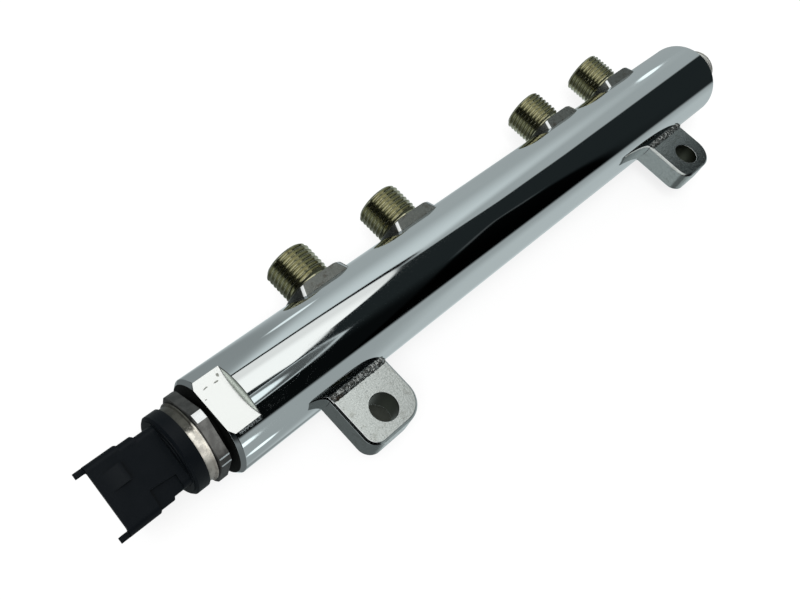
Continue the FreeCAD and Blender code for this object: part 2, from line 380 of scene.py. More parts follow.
# Camera at the photograph's angle
def make_camera():
    data = bpy.data.cameras.new("camera")
    data.sensor_width = 36.0
    data.lens = 36.685
    data.shift_x = 0.0494
    data.shift_y = -0.00974
    data.clip_start = 0.01
    data.clip_end = 10.0
    camera = show(bpy.data.objects.new("camera", data))
    right = Vector((0.69673, -0.67571, 0.24079))
    down = Vector((-0.49902, -0.69771, -0.51398))
    ahead = Vector((0.51530, 0.23794, -0.82331))
    turned = Matrix((right, -down, -ahead)).transposed().to_4x4()
    camera.matrix_world = Matrix.Translation(Vector((-193.507, -27.620, 213.089)) * MM) @ turned
    bpy.context.scene.camera = camera


# Studio: pale floor, soft light, and a painted shell that only gloss sees
def make_floor():
    """White paper; it glows a little, with a dark oval of painted shade behind the near bolt hole.
    """
    paper = Finish("floor_paper")
    x, y = paper.parts(paper.place)[:2]
    # Painted shade: a dark oval on the paper, behind the near bolt hole.
    aside, beyond = (x + bolt_x - 6.0) / 2.9, (y - 1.5) / 4.4
    painted_shade = 1 - paper.smooth(paper.distance(aside, beyond), 0.9, 1.8)
    paper.set(
        base_color=paper.blend(painted_shade, colour(0.9, 0.9, 0.9), colour(0.06, 0.065, 0.055)),
        roughness=1.0,
    )
    paper.surface.inputs["Specular IOR Level"].default_value = 0.0
    plain = Signal(paper, paper.surface.outputs[0])
    glow = paper.node("ShaderNodeEmission", {}, {"Color": colour(1, 1, 1), "Strength": 1.0})
    shade = paper.node("ShaderNodeMixShader", {}, {0: 0.22 + painted_shade * 0.78, 1: glow, 2: plain})
    ray = paper.node("ShaderNodeLightPath", output=0)
    seen = paper.node("ShaderNodeMixShader", {}, {0: ray, 1: plain, 2: shade})
    paper.tree.links.new(seen.socket, paper.tree.nodes["Material Output"].inputs["Surface"])
    mesh = bpy.data.meshes.new("floor")
    reach = 6000.0
    corners = [(-reach, -reach), (reach, -reach), (reach, reach), (-reach, reach)]
    mesh.from_pydata([Vector((x, y, tube_low.z)) * MM for x, y in corners], [], [(0, 1, 2, 3)])
    mesh.materials.append(paper.material)
    floor = show(bpy.data.objects.new("floor", mesh))
    floor.visible_glossy = False


def make_world():
    world = bpy.data.worlds.new("studio")
    world.use_nodes = True
    bpy.context.scene.world = world
    graph = Graph(world.node_tree)
    path = [graph.node("ShaderNodeLightPath", output=i) for i in range(7)]
    seen = graph.maths("MAXIMUM", graph.maths("MAXIMUM", path[0], path[3]), path[6])
    background = world.node_tree.nodes["Background"]
    background.inputs["Color"].default_value = colour(1, 1, 1)
    graph.tree.links.new(graph.ramp(seen, 0, 1, 0.7, 1.0).socket, background.inputs["Strength"])


def make_lamp(name, place, size, power):
    """Round lamp that lights the rail's middle and shows in nothing."""
    data = bpy.data.lights.new(name, "AREA")
    data.shape = "DISK"
    data.size = size
    data.energy = power
    lamp = show(bpy.data.objects.new(name, data))
    place = Vector(place) * MM
    rail_middle = Vector((0, 20, 5)) * MM
    aim = (rail_middle - place).to_track_quat("-Z", "Y")
    lamp.matrix_world = Matrix.Translation(place) @ aim.to_matrix().to_4x4()
    lamp.visible_camera = False
    lamp.visible_glossy = False


def make_shell():
    """Studio as polished metal sees it: a bright ceiling, grey walls, a dark side.

    Places are in degrees: rise above the level, and turn from the rail's own way.
    """
    shell = Finish("studio_shell")
    smooth, maths = shell.smooth, shell.maths
    x, y, z = shell.parts(shell.node(
        "ShaderNodeVectorMath", {"operation": "NORMALIZE"}, {0: shell.place}
    ))
    degrees = 180 / math.pi
    rise = maths("ARCSINE", z) * degrees
    turn = maths("ARCTAN2", y, abs(x)) * degrees

    def above(value, level):
        return maths("MAXIMUM", value - level, 0.0)

    # Bright ceiling, with a thin dark rim below it
    ceiling = maths(
        "MINIMUM",
        62.0 - turn * 0.05,
        maths("MAXIMUM", 62.2 - turn * 0.42, 55.0 - turn * 0.2),
    )
    over = rise - ceiling
    white = smooth(over, 0.0, 0.8) * (1 - smooth(rise, 74, 80) * 0.8)
    white = white * smooth(turn + 22 - above(rise, 64) * 1.9, -1.5, 1.5)
    rim = smooth(over, -2.7, -2.0) * (1 - white) * smooth(turn, 25, 33)

    # Grey walls, near and far, and the lighter paper underneath
    nadir = smooth(turn, -30, 10) * (1 - smooth(turn, 45, 70))
    near = 0.345 + smooth(rise, 4, -14) * smooth(turn, -62, -50) * 0.14
    near = near - smooth(rise, -56, -62) * smooth(turn, -8, -24) * 0.22
    glow = smooth(turn, 24, 36) * (1 - smooth(turn, 60, 68) * 0.8)
    far = 0.37 + smooth(rise, 8, 42) * glow * 0.25 - smooth(turn, 60, 67) * 0.11
    side = smooth(turn, -10, 10)
    wall = near * (1 - side) + far * side + smooth(rise, -25, -58) * 0.28 * nadir

    # Dark side, with a blacker pit inside a faint edge
    dark_foot = 13.0 - (turn + 60.0) * 0.42
    dark_side = maths("MAXIMUM", 7.2, (rise - 34) * 0.93) + above(rise, 46.5) * 3.3
    dark = smooth(rise - dark_foot, -3.0, 3.0) * (
        1 - smooth(turn - dark_side, -1.2, 1.8)
    )
    past = turn + 24.5
    drop = 43.3 - rise
    pit = maths(
        "MINIMUM", drop - past * past * 0.0193, drop * drop * 0.0058 - drop * 0.6 - past
    )
    pit_edge = smooth(abs(pit), 1.0, 0.2)
    depth = 0.003 + smooth(turn, -50, -30) * 0.013
    depth = depth * (1 - smooth(pit, -0.8, 1.6) * 0.95)
    depth = depth + pit_edge * smooth(turn, -38, -31) * smooth(rise, 35, 39) * 0.05

    # Grey veil over the dark side, with a bright outline
    veil_top = -26 - turn - above(61 - rise, 0) * 1.35 - above(rise, 63) * 1.1
    veil_foot = rise - 49.2 - above(turn, -49.5) * 0.31 - above(-52 - turn, 0) * 0.16
    within = maths("MINIMUM", veil_top * 0.75, veil_foot)
    veil = smooth(within, -0.5, 0.3)
    outline = 1 - smooth(within, 1.1, 2.0)
    depth = depth + veil * (0.08 + outline * 0.42 + smooth(rise, 61, 65) * 0.13)
    light = wall * (1 - dark) + depth * dark

    def lamp(middle, along, across):
        """1 inside an oval with the given half axes and a soft edge, 0 outside."""
        size = along[0] * across[1] - along[1] * across[0]
        right, up = turn - middle[0], rise - middle[1]
        a = (right * across[1] - up * across[0]) / size
        b = (up * along[0] - right * along[1]) / size
        return smooth(shell.distance(a, b), 1.2, 0.75)

    # Lamps, which show as short streaks
    light = light + lamp((32.0, 15.0), (-0.8, -0.3), (-1.45, 3.25)) * 0.8
    light = light + lamp((63.9, 7.5), (-2.1, -0.15), (-0.25, 3.0)) * 0.6
    light = light + lamp((-71.8, 0.0), (1.2, 0.0), (-0.05, 4.4)) * 0.9
    light = light + lamp((-67.8, -29.8), (1.5, 0.3), (0.85, -3.8)) * 0.9
    light = light + lamp((-47.6, 59.2), (4.3, -1.9), (-7.4, -4.6)) * 0.9

    # What the faces that look back toward the sensor end see
    back = smooth(x, 0.02, -0.02)
    behind = back * smooth(rise, 8, -4)
    glimpse = smooth(rise, -58, -30) * (1 - smooth(abs(turn), 22, 46))
    light = light * (1 - behind) + (0.14 + glimpse * 0.30) * behind
    gloom = back * smooth(rise, -12, 0) * (1 - smooth(rise, 34, 42))
    light = light * (1 - gloom * 0.93)
    white = maths("MAXIMUM", white, back * smooth(rise, 40, 46))

    light = light * (1 - rim) * (1 - white) + white * (0.98 - smooth(rise, 61, 53) * 0.22)
    deep = dark * (1 - smooth(light, 0.015, 0.06))
    tint = shell.blend(deep, colour(0.87, 0.985, 1.0), colour(0.74, 1.0, 1.06))
    tint = shell.blend(white, tint, colour(0.97, 1.0, 0.98))
    glow = shell.node("ShaderNodeEmission", {}, {"Color": tint, "Strength": light})
    shell.tree.links.new(glow.socket, shell.tree.nodes["Material Output"].inputs["Surface"])

    work = bmesh.new()
    bmesh.ops.create_icosphere(work, subdivisions=5, radius=60.0)
    mesh = bpy.data.meshes.new("studio_shell")
    work.to_mesh(mesh)
    work.free()
    mesh.materials.append(shell.material)
    ball = show(bpy.data.objects.new("studio_shell", mesh))
    for ray in ("camera", "diffuse", "shadow", "transmission", "volume_scatter"):
        setattr(ball, "visible_" + ray, False)


# Finishes
def make_chrome():
    chrome = Finish("polished_chrome")
    along, turn = chrome.axis_place(rail_origin)[:2]
    around = turn * tube_radius
    unrolled = chrome.vector(along, around, 0.0)
    smudge = chrome.grain(chrome.stretched(unrolled, 0.02, 0.15, 1), 1.0, 4.0)
    haze = chrome.grain(unrolled, 0.9, 5.0, 0.65)
    wear = chrome.smooth(chrome.grain(unrolled, 0.045, 2.0), 0.52, 0.72)

    def hairlines(x, y, seed, width):
        field = chrome.grain(
            chrome.node("ShaderNodeVectorMath", {"operation": "ADD"}, {
                0: chrome.stretched(unrolled, x, y, 1), 1: (seed, seed * 1.7, 0),
            }),
            1.0, 0.0,
        )
        return 1 - chrome.smooth(abs(field - 0.5), width * 0.3, width)

    def patch(start, end, low, high, soft):
        """1 on a patch of the unrolled tube, with soft sides."""
        return (
            chrome.smooth(along, start - soft, start + soft)
            * (1 - chrome.smooth(along, end - soft, end + soft))
            * chrome.smooth(around, low - soft, low + soft)
            * (1 - chrome.smooth(around, high - soft, high + soft))
        )

    lines = hairlines(0.05, 0.42, 3.0, 0.004) * wear * 0.3
    lines = lines + hairlines(0.06, 0.30, 7.0, 0.003) * patch(17, 30, -9.5, -5.5, 1.5)
    lines = chrome.maths("MINIMUM", lines, 1.0)
    fingered = patch(9, 19, -9.8, -7.4, 0.7) * chrome.smooth(haze, 0.42, 0.66)
    flat_side = math.acos(flat_level / tube_radius) * tube_radius
    burr = patch(2.0, flat_end, -flat_side - 0.9, -flat_side + 1.0, 0.4)
    burr = burr * chrome.smooth(chrome.grain(unrolled, 1.9, 3.0, 0.7), 0.44, 0.60)
    chrome.set(
        base_color=chrome.blend(smudge, colour(0.88, 0.90, 0.91), colour(0.95, 0.96, 0.96)),
        metallic=1.0,
        roughness=0.03 + smudge * 0.03 + wear * haze * 0.05 + lines * 0.2
        + fingered * 0.16 + burr * 0.45,
    )
    swell = chrome.grain(chrome.stretched(unrolled, 0.035, 0.05, 1), 1.0, 1.0)
    chrome.bump(swell * 0.5 + lines * 0.02 + haze * 0.004 + burr * 0.3, 0.06)
    return chrome


def make_milled():
    """Clocking flat: a bright milled face with a few dents and dull specks."""
    milled = Finish("milled_flat")
    cut = milled.grain(milled.stretched(milled.place, 5.0, 0.15, 1), 1.0, 3.0)
    dents = milled.smooth(
        milled.grain(milled.stretched(milled.place, 0.45, 1.6, 1), 1.0, 2.0), 0.75, 0.78
    )
    fine = milled.grain(milled.place, 2.0, 3.0)
    x, y = milled.parts(milled.place)[:2]
    nicks = ((7.6, 6.7, 0.4, 0.6), (6.1, 5.4, 0.9, 0.2), (2.8, 5.6, 0.8, 0.2))
    for along, across, long, wide in nicks:
        right = (x - tube_low.x - along + (fine - 0.5) * 0.6) / long
        up = (y - rail_y - across + (fine - 0.5) * 0.6) / wide
        mark = milled.smooth(milled.distance(right, up), 1.2, 0.5)
        dents = milled.maths("MAXIMUM", dents, mark)
    rim = milled.smooth(x, tube_low.x + flat_end - 2.2, tube_low.x + flat_end)
    specks = milled.smooth(milled.grain(milled.place, 2.2, 4.0, 0.7), 0.50, 0.66) * rim
    milled.set(
        base_color=milled.blend(
            milled.maths("MAXIMUM", dents, specks * 0.45),
            colour(0.98, 0.98, 0.97), colour(0.30, 0.30, 0.27),
        ),
        metallic=1.0,
        roughness=0.16 + cut * 0.06,
    )
    milled.bump(cut * 0.2 - dents, 0.02)
    return milled


def make_step_finish():
    """Upright face at the end of the flat: grey cutter marks under a dark burred edge, with painted
    shade that darkens the face towards its top.
    """
    step = Finish("milled_step")
    out = step.axis_place(rail_origin)[2]
    z = step.parts(step.place)[2]
    fine = step.grain(step.place, 2.6, 4.0, 0.7)
    # Painted shade: light low on the face, dark towards its top.
    rise = step.smooth(z - (rail_z + flat_level) + (fine - 0.5) * 1.5, 0.2, 2.0)
    edge = step.smooth(out + (fine - 0.5) * 0.3, tube_radius - 0.75, tube_radius - 0.45)
    wall = step.blend(rise, colour(0.66, 0.72, 0.66), colour(0.20, 0.24, 0.20))
    step.set(
        base_color=step.blend(edge, wall, colour(0.025, 0.03, 0.03)),
        metallic=0.4,
        roughness=0.5,
    )
    step.bump(fine, 0.02)
    return step


def make_gap_finish():
    """Steel in the gap between the tube's end and the hexagon, painted near black as shade."""
    gap = Finish("dark_steel")
    fine = gap.grain(gap.place, 3.0, 3.0)
    gap.set(
        base_color=gap.blend(fine, colour(0.002, 0.002, 0.002), colour(0.008, 0.009, 0.008)),
        roughness=0.5 + fine * 0.2,
    )
    gap.surface.inputs["Specular IOR Level"].default_value = 0.08
    return gap


def make_zinc(name, light, dark, tarnish, rough, relief=0.03, shine=1.0):
    """Zinc plate with blotches of tarnish and small pits; bolt hole walls are painted dark as
    shade, and rougher.
    """
    zinc = Finish(name)
    blotch = zinc.grain(zinc.place, 0.35, 4.0, 0.6)
    fine = zinc.grain(zinc.place, 1.9, 5.0, 0.75)
    stain = zinc.smooth(blotch + (fine - 0.5) * 0.3, 0.52, 0.74)
    pits = zinc.smooth(zinc.grain(zinc.place, 1.5, 2.0), 0.68, 0.76)
    x, y = zinc.parts(zinc.place)[:2]
    aside = abs(x) - bolt_x
    from_bolt = zinc.distance(aside, y)
    # Painted shade: the walls of the bolt holes are darkened.
    hole = 1 - zinc.smooth(from_bolt, bolt_hole_radius + 0.04, bolt_hole_radius + 0.10)
    skin = zinc.blend(stain * 0.7 + pits * 0.3, zinc.blend(fine, light, dark), tarnish)
    zinc.set(
        base_color=zinc.blend(hole, skin, colour(0.12, 0.125, 0.095)),
        metallic=shine,
        roughness=rough + fine * 0.12 + hole * 0.25,
    )
    zinc.bump(fine - pits * 0.8, relief)
    return zinc


def make_steel(name, upper, lower, rough, pitch, change, blotch, shine):
    """Turned steel with painted light and shade: darker over the top, lighter past a turn about the
    rail, and dimmer again further round.
    """
    steel = Finish(name)
    along, turn, out = steel.axis_place(rail_origin)
    rings = steel.grain(steel.vector(along * pitch, out * pitch * 0.6, turn * 0.3), 1.0, 2.0)
    cloud = steel.grain(steel.place, 0.5, 3.0)
    fine = steel.grain(steel.place, 4.0, 3.0, 0.7)
    # Painted shade and light: the upper colour on one side of the turn, the lower colour past it.
    shade = steel.smooth(turn + (cloud - 0.5) * 0.5, change + 0.12, change - 0.12)
    mottle_and_shade = 1 - steel.smooth(cloud + (fine - 0.5) * 0.3, 0.40, 0.62) * blotch
    # Painted shade: dimmer again further round, over the blotches of tone.
    mottle_and_shade = mottle_and_shade * (1 - steel.smooth(turn, -0.66, -0.98) * 0.72)
    base = steel.blend(shade, upper, lower)
    steel.set(
        base_color=steel.node("ShaderNodeMix", {"data_type": "RGBA", "blend_type": "MULTIPLY"}, {
            0: 1.0, 6: base, 7: steel.vector(mottle_and_shade, mottle_and_shade, mottle_and_shade),
        }, output=2),
        metallic=shine,
        roughness=rough + rings * 0.10 + fine * 0.10,
    )
    steel.bump(rings * 0.6 + fine * 0.4, 0.012)
    return steel


def make_wear_and_highlight_corner():
    """Corners of hexagon, collars and plates, worn bright; on the hexagon they also stand as
    painted highlights.
    """
    corner = Finish("bright_corner")
    fine = corner.grain(corner.place, 3.0, 4.0, 0.7)
    corner.set(
        base_color=corner.blend(fine, colour(0.99, 0.99, 0.99), colour(0.86, 0.86, 0.88)),
        metallic=1.0,
        roughness=0.12 + fine * 0.08,
    )
    corner.bump(fine, 0.01)
    return corner


def make_plastic():
    plastic = Finish("black_moulding")
    fine = plastic.grain(plastic.place, 9.0, 2.0)
    cloud = plastic.grain(plastic.place, 0.25, 3.0)
    plastic.set(
        base_color=plastic.blend(
            cloud, colour(0.0018, 0.0030, 0.0042), colour(0.0034, 0.0046, 0.0062)
        ),
        roughness=0.26 + cloud * 0.16 + fine * 0.06,
    )
    plastic.surface.inputs["Specular IOR Level"].default_value = 0.14
    plastic.bump(fine, 0.02)
    return plastic


def make_plastic_edge():
    """Edges of the moulding, a little glossier, and painted lighter as thin highlight lines."""
    edge = Finish("moulding_edge")
    cloud = edge.grain(edge.place, 0.5, 2.0)
    edge.set(
        base_color=edge.blend(cloud, colour(0.010, 0.012, 0.014), colour(0.026, 0.029, 0.033)),
        roughness=0.28 + cloud * 0.15,
    )
    return edge


def make_tin():
    tin = Finish("tinned_contact")
    streak = tin.grain(tin.stretched(tin.place, 0.6, 6.0, 6.0), 1.0, 3.0)
    tin.set(
        base_color=tin.blend(streak, colour(0.62, 0.60, 0.55), colour(0.80, 0.78, 0.72)),
        metallic=1.0,
        roughness=0.25 + streak * 0.12,
    )
    return tin


def make_board_finish():
    board = Finish("green_board")
    weave = board.grain(board.stretched(board.place, 1.0, 4.0, 1.5), 1.0, 2.0)
    board.set(
        base_color=board.blend(weave, colour(0.01, 0.09, 0.04), colour(0.02, 0.16, 0.07)),
        roughness=0.35 + weave * 0.2,
    )
    board.bump(weave, 0.02)
    return board


def make_weld_finish():
    """Bright lumpy bead, with brown spatter at the near bead's outer end."""
    weld = Finish("weld_bead")
    fine = weld.grain(weld.place, 1.3, 4.0, 0.65)
    x = weld.parts(weld.place)[0]
    heat = weld.smooth(weld.grain(weld.place, 0.5, 3.0), 0.40, 0.55) * weld.smooth(x, -92.5, -95.5)
    grey = weld.smooth(fine, 0.44, 0.56)
    weld.set(
        base_color=weld.blend(
            heat * 0.85,
            weld.blend(grey, colour(0.95, 0.95, 0.93), colour(0.20, 0.20, 0.19)),
            colour(0.16, 0.10, 0.06),
        ),
        metallic=1.0,
        roughness=0.14 + fine * 0.16,
    )
    weld.bump(fine, 0.45)
    return weld


chrome = make_chrome()
milled = make_milled()
milled_step = make_step_finish()
dark_steel = make_gap_finish()
thread_zinc = make_zinc(
    "olive_zinc", colour(0.63, 0.61, 0.42), colour(0.42, 0.40, 0.28), colour(0.29, 0.27, 0.17),
    0.10, 0.008,
)
collar_zinc = make_zinc(
    "blasted_zinc", colour(0.33, 0.34, 0.32), colour(0.17, 0.17, 0.155), colour(0.12, 0.10, 0.08),
    0.30, 0.06,
)
plate_zinc = make_zinc(
    "bright_zinc", colour(0.83, 0.86, 0.84), colour(0.44, 0.46, 0.45), colour(0.46, 0.47, 0.44),
    0.08,
)
stub_zinc = make_zinc(
    "stub_zinc", colour(0.90, 0.91, 0.88), colour(0.66, 0.66, 0.61), colour(0.50, 0.48, 0.39),
    0.22, 0.02, 0.8,
)
# Each pair of colours is a shaded and a lit copy of one steel; the sleeve's bright lower colour is
# a painted highlight.
hex_steel = make_steel(
    "hex_steel", colour(0.062, 0.065, 0.062), colour(0.21, 0.21, 0.20), 0.38, 2.5, 0.03, 0.3, 0.5
)
sleeve_steel = make_steel(
    "sleeve_steel", colour(0.06, 0.06, 0.05), colour(0.99, 0.95, 0.85), 0.22, 5.0, -0.05, 0.34, 0.4
)
bright_corner = make_wear_and_highlight_corner()
weld_metal = make_weld_finish()
black = make_plastic()
black_edge_highlight = make_plastic_edge()
tin = make_tin()
board_green = make_board_finish()


# Rail tube: mirror chrome, so its normals are worked out and not averaged

def make_tube():
    skin = Skin()
    top_steps, low_steps = 60, 196
    bevel_round = 0.35
    least_spread = 12.6
    outer = softened([
        (0.0, port_radius, 0.0),
        (0.0, tube_radius - bevel_drop, 0.15),
        (end_bevel, tube_radius, bevel_round),
        (flat_end, tube_radius, 0.0),
        (tube_length - end_bevel, tube_radius, bevel_round),
        (tube_length, tube_radius - bevel_drop, 0.15),
        (tube_length, shank_hole_radius, 0.2),
        (tube_length - shank_hole_depth, shank_hole_radius, 0.0),
        (tube_length - shank_hole_depth, gallery_radius, 0.0),
        (port_depth, gallery_radius, 0.0),
        (port_depth, port_radius, 0.0),
    ])

    def sweep(radius):
        """Angles from the flat's far edge round below to its near edge, then over the top."""
        edge = math.asin(flat_level / max(radius, least_spread))
        low = [math.pi - edge + (math.pi + 2 * edge) * k / low_steps for k in range(low_steps)]
        top = [2 * math.pi + edge + (math.pi - 2 * edge) * k / top_steps for k in range(top_steps)]
        return low + top

    def ring(here, cut):
        points = []
        for k, angle in enumerate(sweep(here.y)):
            across, up = here.y * math.cos(angle), here.y * math.sin(angle)
            if cut and k >= low_steps and here.y > flat_level:
                up = flat_level
                edge = math.sqrt(here.y ** 2 - flat_level ** 2)
                across = edge - 2 * edge * (k - low_steps) / top_steps
            points.append(rail.place(here.x, across, up))
        return skin.ring(points)

    def round_normals(radius, slope):
        return [
            rail.direction(slope.x, slope.y * math.cos(angle), slope.y * math.sin(angle))
            for angle in sweep(radius)
        ]

    rings, cuts = [], []
    for here, _, _ in outer:
        cuts.append(here.x < flat_end - 0.01 and here.y > flat_level)
        rings.append(ring(here, cuts[-1]))
    step = next(i for i, (here, _, _) in enumerate(outer) if abs(here.x - flat_end) < 0.01)
    inner_step = ring(outer[step][0], True)
    inner_step[:low_steps + 1] = rings[step][:low_steps + 1]
    low, top = slice(0, low_steps + 1), list(range(low_steps, low_steps + top_steps)) + [0]
    up = [Vector((0, 0, 1))] * (top_steps + 1)
    for i, first in enumerate(rings):
        j = (i + 1) % len(rings)
        second = inner_step if j == step else rings[j]
        before = round_normals(outer[i][0].y, outer[i][2])
        after = round_normals(outer[j][0].y, outer[j][1])
        skin.band(first[low], second[low], before[low], after[low], closed=False)
        flat = cuts[i] and (cuts[j] or j == step)
        skin.band(
            [first[k] for k in top],
            [second[k] for k in top],
            up if flat else [before[k] for k in top],
            up if flat else [after[k] for k in top],
            closed=False,
        )
    facing = [Vector((-1, 0, 0))] * (top_steps + 1)
    inside, outside = [inner_step[k] for k in top], [rings[step][k] for k in top]
    skin.band(inside, outside, facing, facing, closed=False)
    tube = skin.piece("chromed_tube", chrome)
    coat(tube, milled, dark_steel, milled_step)
    level = (rail_z + flat_level) * MM
    for polygon in tube.data.polygons:
        along = polygon.center.x / MM - tube_low.x
        if abs(polygon.normal.z) > 0.999 and abs(polygon.center.z - level) < 0.02 * MM:
            polygon.material_index = 1
        # The tube's end face, in the gap, is painted near black as shade.
        elif along < 0.01:
            polygon.material_index = 2
        elif abs(along - flat_end) < 0.01 and polygon.center.z > level:
            polygon.material_index = 3
    dressed(tube, "chromed_tube", "rail_tube")


# Grown meshes: a sheet of points that a node tree wraps round a form
class Wrap(Graph):
    """Node tree that lays a sheet of rows and columns; the last column meets the first."""

    def __init__(self, name, sizes):
        super().__init__(bpy.data.node_groups.new(name, "GeometryNodeTree"))
        face = self.tree.interface
        face.new_socket("Geometry", in_out="INPUT", socket_type="NodeSocketGeometry")
        for size in sizes:
            face.new_socket(size, in_out="INPUT", socket_type="NodeSocketFloat")
        for count in ("Rows", "Columns"):
            face.new_socket(count, in_out="INPUT", socket_type="NodeSocketInt")
        face.new_socket("Finish", in_out="INPUT", socket_type="NodeSocketMaterial")
        face.new_socket("Geometry", in_out="OUTPUT", socket_type="NodeSocketGeometry")
        entry = self.tree.nodes.new("NodeGroupInput")
        self.given = {socket.name: Signal(self, socket) for socket in entry.outputs}

    def sheet(self, rows):
        """Lays the sheet; gives each point's row and its share of the way round."""
        columns = self.given["Columns"] + 1
        self.grid = self.node(
            "GeometryNodeMeshGrid", {}, {"Vertices X": rows, "Vertices Y": columns}
        )
        index = self.node("GeometryNodeInputIndex")
        row = self.maths("FLOOR", (index + 0.5) / columns)
        return row, (index - row * columns) / self.given["Columns"]

    def wrap(self, place):
        """Moves the points, joins the seam, and ends the tree."""
        moved = self.node("GeometryNodeSetPosition", {}, {"Geometry": self.grid, "Position": place})
        joined = self.node(
            "GeometryNodeMergeByDistance", {}, {"Geometry": moved, "Distance": 0.002}
        )
        real = self.node("GeometryNodeRealizeInstances", {}, {"Geometry": joined})
        coloured = self.node(
            "GeometryNodeSetMaterial", {}, {"Geometry": real, "Material": self.given["Finish"]}
        )
        leave = self.tree.nodes.new("NodeGroupOutput")
        self.tree.links.new(coloured.socket, leave.inputs[0])
        return self.tree


def make_thread_tree():
    """One ridge wound round a stub."""
    graph = Wrap("Thread ridge", (
        "Length", "Pitch", "Crest radius", "Root radius", "Start radius", "Tip radius"
    ))
    given = graph.given
    length, pitch = given["Length"], given["Pitch"]
    rows_per_turn = given["Rows"]
    row, part_turn = graph.sheet(graph.maths("CEIL", rows_per_turn * (length / pitch + 1)) + 1)
    wound = row / rows_per_turn - 1
    along = graph.maths("MINIMUM", graph.maths("MAXIMUM", (wound + part_turn) * pitch, 0.0), length)
    slope = abs(graph.maths("FRACT", wound) - 0.5) * 2
    height = graph.smooth(slope, 0.94, 0.02)
    ridge = given["Root radius"] + height * (given["Crest radius"] - given["Root radius"])
    radius = graph.maths(
        "MINIMUM",
        ridge,
        graph.maths("MINIMUM", given["Start radius"] + along, given["Tip radius"] + length - along),
    )
    angle = part_turn * (2 * math.pi)
    return graph.wrap(graph.vector(
        along, radius * graph.maths("COSINE", angle), radius * graph.maths("SINE", angle)
    ))


def make_bead_tree():
    """Weld bead: an oval section whose outer half carries ripples and lumps."""
    graph = Wrap("Weld bead", (
        "Length", "Middle Y", "Middle Z", "Chord Y", "Chord Z", "Out Y", "Out Z",
        "Root depth", "Pitch", "Ripple", "Lump", "Seed",
    ))
    given = graph.given
    row, share = graph.sheet(given["Rows"])
    reach = row / (given["Rows"] - 1) * 2 - 1
    along = reach * given["Length"] / 2
    across = graph.maths("COSINE", share * (2 * math.pi))
    out = graph.maths("SINE", share * (2 * math.pi))
    fall = 1 - graph.maths("POWER", abs(reach), 14.0)
    taper = graph.maths("SQRT", graph.maths("MAXIMUM", fall, 0.0))
    wander = graph.grain(graph.vector(along, given["Seed"], 0.0), 0.35, 1.0) * 1.6
    phase = along / given["Pitch"] + across * across * 0.35 + wander
    ripple = 1 - abs(graph.maths("FRACT", phase) * 2 - 1)
    lumps = graph.grain(graph.vector(along, across * 0.9, given["Seed"]), 1.1, 2.0) - 0.5
    size = taper * (1 + lumps * given["Lump"] * 0.5)
    crest = graph.maths("MAXIMUM", out, 0.0) * (
        0.42 + ripple * given["Ripple"] + lumps * given["Lump"]
    )
    height = size * (crest + graph.maths("MINIMUM", out, 0.0) * given["Root depth"])
    return graph.wrap(graph.vector(
        along,
        given["Middle Y"] + given["Chord Y"] * across * size + given["Out Y"] * height,
        given["Middle Z"] + given["Chord Z"] * across * size + given["Out Z"] * height,
    ))


def grown(tree, inputs):
    """Mesh that a node tree makes from its named inputs."""
    carrier = show(bpy.data.objects.new("carrier", bpy.data.meshes.new("carrier")))
    modifier = carrier.modifiers.new("Grown", "NODES")
    modifier.node_group = tree
    for item in tree.interface.items_tree:
        if item.in_out == "INPUT" and item.name in inputs:
            modifier[item.identifier] = inputs[item.name]
    bpy.context.view_layer.update()
    shape = bpy.data.meshes.new_from_object(
        carrier.evaluated_get(bpy.context.evaluated_depsgraph_get())
    )
    bpy.data.objects.remove(carrier)
    return shape


thread_tree = make_thread_tree()
bead_tree = make_bead_tree()
thread_pitch = 1.5
crest_radius = 8.0
root_radius = 7.1
relief_radius = 7.0
relief_length = 1.3
bore_radius = 3.0
seat_mouth = 5.0
segments = 192


def make_thread(length):
    return grown(thread_tree, {
        "Length": length,
        "Pitch": thread_pitch,
        "Crest radius": crest_radius,
        "Root radius": root_radius,
        "Start radius": relief_radius,
        "Tip radius": root_radius,
        "Rows": 12,
        "Columns": segments,
        "Finish": thread_zinc.material,
    })


def round_rings(skin, axis, *profile):
    """One ring of points for each (along, radius)."""
    return [
        skin.ring([
            axis.start + axis.along * along + axis.outward(2 * math.pi * k / segments) * radius
            for k in range(segments)
        ])
        for along, radius in profile
    ]


def join_rings(skin, rings):
    for first, second in zip(rings, rings[1:]):
        skin.band(first, second)


def seat_rings(skin, axis, tip, floor):
    """Bore, cone seat and tip face of a pipe connection, from the bore's floor outward."""
    cone = (seat_mouth - bore_radius) / math.tan(math.radians(30))
    return round_rings(
        skin, axis, (tip, root_radius), (tip, seat_mouth + 0.15), (tip - 0.15, seat_mouth),
        (tip - cone, bore_radius), (floor, bore_radius),
    )[::-1]


# Outlet fittings
collar_top = 15.4
collar_radius = 11.7
collar_flat = 9.5
stub_length = 12.6
spigot_end = 10.0
spigot_radius = 5.5
orifice_radius = 1.5
bore_floor = 12.5


def collar_half_width(height):
    """Collar radius at a height above the rail's axis."""
    if height > collar_top - 0.5:
        return collar_radius - 0.5 + (collar_top - height) * 1.5
    return collar_radius + 0.25 + (collar_top - 0.5 - height) * math.tan(math.radians(16))


def collar_point(radius, flat, k):
    """Point k of a quarter of the collar's outline: an arc, a worn corner, a flat."""
    corner = math.asin(flat / radius)
    arc_steps, quarter = 29, segments // 4
    if k <= arc_steps:
        angle = (corner - 0.6 / radius) * k / arc_steps
        return radius * math.cos(angle), radius * math.sin(angle)
    share = (k - arc_steps - 1) / (quarter - arc_steps - 1)
    return (radius * math.cos(corner) - 0.5) * (1 - share), flat


